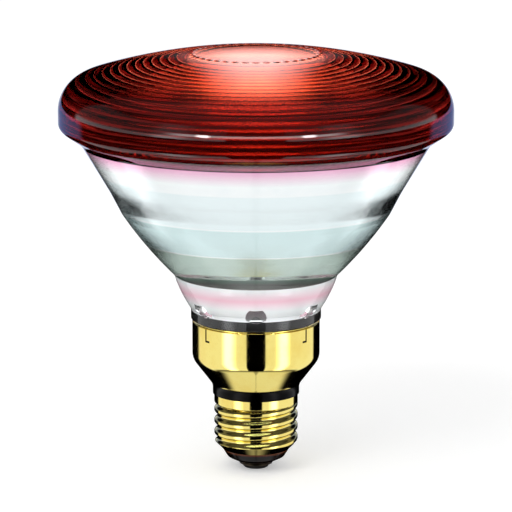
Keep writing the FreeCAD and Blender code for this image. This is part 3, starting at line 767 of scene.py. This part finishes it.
def makeBase():
    low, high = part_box("base_insulator")
    plateLow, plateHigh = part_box("contact_plate")
    fit = base["fit"]
    shellEnd = low.z + base["stepRise"] + base["flare"]
    bore = high.x
    waist = shell["crest"] - shell["depth"] - shell["waist"]
    wire, inside = base["wireHole"], shellEnd + base["sheet"] + fit
    outline = [(wire, low.z), (plateHigh.x, low.z), (waist - base["stepInset"], low.z + base["stepRise"]),
               (waist - fit, shellEnd - fit), (waist - fit, inside), (bore, inside + bore + fit - waist),
               (bore, high.z), (wire, high.z)]
    insulator = lathe("cap_insulator", [(0, rounded(outline, base["glassRound"]))], turns=base["glassTurns"])
    dress(insulator, [insulatorGlass], "black_glass", "base_insulator")
    turns = base["contactTurns"]
    disc = [(wire, plateLow.z), (plateHigh.x, plateLow.z), (plateHigh.x, plateHigh.z), (wire, plateHigh.z)]
    plate = lathe("contact_disc", [(0, rounded(disc, base["plateRound"], 4))], turns=turns)
    dress(plate, [contactPaintedDark], "contact_brass", "contact_plate")
    dropLow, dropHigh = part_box("contact_solder")
    drop = [(0, dropLow.z), (dropHigh.x - base["solderSlope"], dropLow.z), (dropHigh.x, dropHigh.z),
            (0, dropHigh.z)]
    drop = rounded(drop, base["dropRound"], closed=False)
    solder = lathe("contact_drop", [(0, drop)], turns=turns, closed=False)
    dress(solder, [solderPaintedDark], "solder", "contact_solder")


makeBase()
print("base")


# Carried-over nodes
finishes = {
    "ferrule_left": ferruleMetal, "ferrule_right": ferruleMetal,
    "inner_lead_left": leadMetal, "inner_lead_right": leadMetal, "bridge_bead": bowlGlass,
    "anchor_left": leadMetal, "anchor_middle": leadMetal, "anchor_right": leadMetal, "filament": filamentMetal,
    "exhaust_tube": bowlGlass, "outer_lead_side": leadMetal, "outer_lead_centre": leadMetal,
    "side_solder": solderPaintedDark,
}
for name, material in finishes.items():
    nodes[name].data.materials.clear()
    nodes[name].data.materials.append(material)
print("carried-over nodes")


# Studio
studio = {
    "floorSize": 6.0, "floorColour": (0.85, 0.85, 0.85, 1), "floorGlow": 0.35, "floorRough": 0.9,
    "roomLight": 0.75, "lampPower": 6.0, "lampSize": 0.8, "lampPlace": (-0.6, -0.9, 1.2), "lampAim": (0, 0, 0.07),
    "cardRadius": 0.35, "cardHeights": (0.0, 0.1), "cardTurns": 96, "cardBlue": (0.22, 0.28, 0.62, 1),
    "cardPale": (0.60, 0.68, 0.90, 1), "blueSpan": (0.45, 0.85, 0.12), "paleSpan": (0.85, 0.95),
}


def makeFloor():
    bpy.ops.mesh.primitive_plane_add(size=studio["floorSize"])
    floor = bpy.context.object
    floor.name = "floor"
    material, tree, shader = newMaterial("pale_floor", Roughness=studio["floorRough"], Specular_IOR_Level=0.0,
                                         Base_Color=studio["floorColour"])
    glow = node(tree, "ShaderNodeEmission", {"Color": (1, 1, 1, 1), "Strength": studio["floorGlow"]})
    seen = node(tree, "ShaderNodeLightPath").outputs["Is Camera Ray"]
    both = node(tree, "ShaderNodeAddShader", {0: shader.outputs[0], 1: glow.outputs[0]})
    mix = node(tree, "ShaderNodeMixShader", {"Fac": seen, 1: shader.outputs[0], 2: both.outputs[0]})
    tree.links.new(mix.outputs[0], tree.nodes["Material Output"].inputs["Surface"])
    floor.data.materials.append(material)
    floor.visible_glossy = False
    floor.visible_transmission = False


# Soft boxes of the surround, by direction. Each has its light and then its limits: two numbers fade from 0
# at the first to 1 at the second, three are a low, a high and a softness. Boxes in a row add up.
reflectedLight = {
    "walls": [(1.05, ("away", -0.95, 0.56, 0.08)), (2.2, ("away", -0.66, -0.58, 0.18))],
    "heights": [(1.0, ("z", -0.70, 0.02, 0.10)), (0.14, ("z", 0.08, 0.55, 0.10))],
    "besideCard": [(1.0, ("across", 0.28, 0.31))],
    "behindCard": [(1.0, ("y", -0.1, 0.0))],
    "under": [(0.405, ("z", -0.75, -0.92), ("y", 0.35, 0.15)),
              (0.495, ("z", -0.75, -0.92), ("y", 0.35, 0.15), ("across", 0.06, 0.14))],
    "strip": [(5.0, ("z", 0.13, 0.21, 0.03), ("away", -0.55, -0.75)),
              (25.0, ("z", 0.13, 0.21, 0.03), ("away", -0.55, -0.75), ("across", 0.48, 0.53, 0.06))],
    "backBox": [(2.0, ("wide", 0.085, 0.01), ("z", 0.38, 0.38, 0.34), ("y", 0.2, 0.4))],
    "ceiling": [(0.10, ("z", 0.5, 0.9))],
}
passedLight = {
    "ground": [(1.0, ("z", -0.56, -0.64))],
    "lowBack": [(1.1, ("y", 0.12, 0.25), ("z", -0.25, -0.36)),
                (0.3, ("y", 0.12, 0.25), ("z", -0.25, -0.36), ("wide", 0.35, 0.50), ("z", -0.66, -0.46, 0.06))],
    "front": [(2.4, ("y", -0.05, -0.25), ("z", -0.75, -0.02, 0.08))],
    "backLevel": [(1.2, ("y", 0.5, 0.7), ("z", -0.10, 0.20, 0.08))],
    "backMiddle": [(2.0, ("y", 0.6, 0.8), ("z", 0.10, 0.28, 0.05), ("wide", 0.36, 0.16))],
    "backHigh": [(3.4, ("away", -0.1, 0.1), ("z", 0.20, 0.55, 0.08))],
    "frontHigh": [(2.4, ("away", 0.0, -0.3), ("z", 0.08, 0.52, 0.08))],
    "overFront": [(3.4, ("wide", 0.40, 0.20), ("z", 0.52, 0.70, 0.08), ("y", 0.05, -0.20))],
    "ceiling": [(0.9, ("z", 0.5, 0.7)), (4.4, ("z", 0.5, 0.7), ("y", -0.22, -0.42))],
}


def makeSurround():
    # a plain room, white to the camera; metal and the face of the glass reflect walls and a strip light with
    # black card between them, and other soft boxes come out through the glass off the mirror behind it
    world = bpy.data.worlds.new("studio_surround")
    bpy.context.scene.world = world
    world.use_nodes = True
    tree = world.node_tree
    tree.nodes.clear()
    path = node(tree, "ShaderNodeLightPath").outputs
    direction = node(tree, "ShaderNodeTexCoord").outputs["Generated"]

    def joined(operation, first, *others):
        for other in others:
            first = calc(tree, operation, first, other)
        return first

    x, y, z = node(tree, "ShaderNodeSeparateXYZ", {0: direction}).outputs
    wide = calc(tree, "ABSOLUTE", x)
    flat = calc(tree, "SQRT", calc(tree, "ADD", calc(tree, "MULTIPLY", x, x), calc(tree, "MULTIPLY", y, y)))
    flat = calc(tree, "MAXIMUM", flat, 0.001)  # never 0, straight up and down
    ways = {"y": y, "z": z, "wide": wide, "across": calc(tree, "DIVIDE", wide, flat),
            "away": calc(tree, "DIVIDE", y, flat)}  # -1 in front, 1 behind

    def softBoxes(row):
        lights = []
        for light, *limits in row:
            for way, *span in limits:
                mask = smoothStep if len(span) == 2 else window
                light = calc(tree, "MULTIPLY", mask(tree, ways[way], *span), light)
            lights.append(light)
        return joined("ADD", *lights)

    bare = {name: softBoxes(row) for name, row in reflectedLight.items()}
    card = calc(tree, "MAXIMUM", bare["besideCard"], bare["behindCard"])
    walls = joined("MULTIPLY", bare["walls"], bare["heights"], card)
    walls = calc(tree, "MAXIMUM", walls, bare["under"])
    metal = joined("ADD", walls, bare["strip"], bare["backBox"], bare["ceiling"])
    through = joined("MAXIMUM", *(softBoxes(row) for row in passedLight.values()))

    def background(colour, strength):
        return node(tree, "ShaderNodeBackground", {"Color": solid(colour), "Strength": strength}).outputs[0]

    seen = background((1, 1, 1), studio["roomLight"])
    for ray, light in (("Is Glossy Ray", background((0.97, 0.98, 1.0), metal)),
                       ("Is Transmission Ray", background((0.97, 0.99, 1.0), through)),
                       ("Is Camera Ray", background((1, 1, 1), 1.0))):
        seen = node(tree, "ShaderNodeMixShader", {"Fac": path[ray], 1: seen, 2: light}).outputs[0]
    node(tree, "ShaderNodeOutputWorld", {"Surface": seen})


def makeCards():
    # a low ring of card round the lamp that only the reflections show: black, with blue and pale parts behind
    shape = bmesh.new()
    turns, radius = studio["cardTurns"], studio["cardRadius"]
    rings = [[shape.verts.new(onCircle(radius, 2 * math.pi * i / turns - math.pi / 2, height))
              for i in range(turns)] for height in studio["cardHeights"]]
    for i in range(turns):
        j = (i + 1) % turns
        shape.faces.new((rings[0][i], rings[0][j], rings[1][j], rings[1][i]))
    card = finishMesh(shape, "reflection_card", 35)
    black = solid((0, 0, 0))
    material, tree, shader = newMaterial("black_card", Roughness=1.0, Specular_IOR_Level=0.0, Base_Color=black,
                                         Emission_Strength=1.0)
    place = node(tree, "ShaderNodeTexCoord").outputs["Object"]
    behind = calc(tree, "DIVIDE", node(tree, "ShaderNodeSeparateXYZ", {0: place}).outputs["Y"], radius)
    colour = mixed(tree, window(tree, behind, *studio["blueSpan"]), black, studio["cardBlue"])
    colour = mixed(tree, smoothStep(tree, behind, *studio["paleSpan"]), colour, studio["cardPale"])
    tree.links.new(colour, shader.inputs["Emission Color"])
    card.data.materials.append(material)
    card.visible_camera = card.visible_diffuse = card.visible_transmission = card.visible_shadow = False


def makeLamp():
    light = bpy.data.lights.new("soft_lamp", "AREA")
    light.energy = studio["lampPower"]
    light.size = studio["lampSize"]
    lamp = bpy.data.objects.new("soft_lamp", light)
    lamp.location = studio["lampPlace"]
    lamp.rotation_euler = (Vector(studio["lampAim"]) - lamp.location).to_track_quat("-Z", "Y").to_euler()
    lamp.visible_glossy = False
    lamp.visible_transmission = False
    bpy.context.collection.objects.link(lamp)


view = {"distance": 1.050, "elevation": 12.2, "target": 67.7 * mm, "lens": 237.4, "sensor": 36.0, "near": 0.01}


def makeCamera():
    camera = bpy.data.objects.new("camera", bpy.data.cameras.new("camera"))
    bpy.context.collection.objects.link(camera)
    tilt = math.radians(view["elevation"])
    camera.location = (0, -view["distance"] * math.cos(tilt), view["target"] + view["distance"] * math.sin(tilt))
    camera.rotation_euler = (math.pi / 2 - tilt, 0, 0)
    camera.data.lens = view["lens"]
    camera.data.sensor_width = view["sensor"]
    camera.data.clip_start = view["near"]
    bpy.context.scene.camera = camera


makeFloor()
makeSurround()
makeCards()
makeLamp()
makeCamera()
bpy.context.scene.view_settings.view_transform = "Standard"
print("studio")
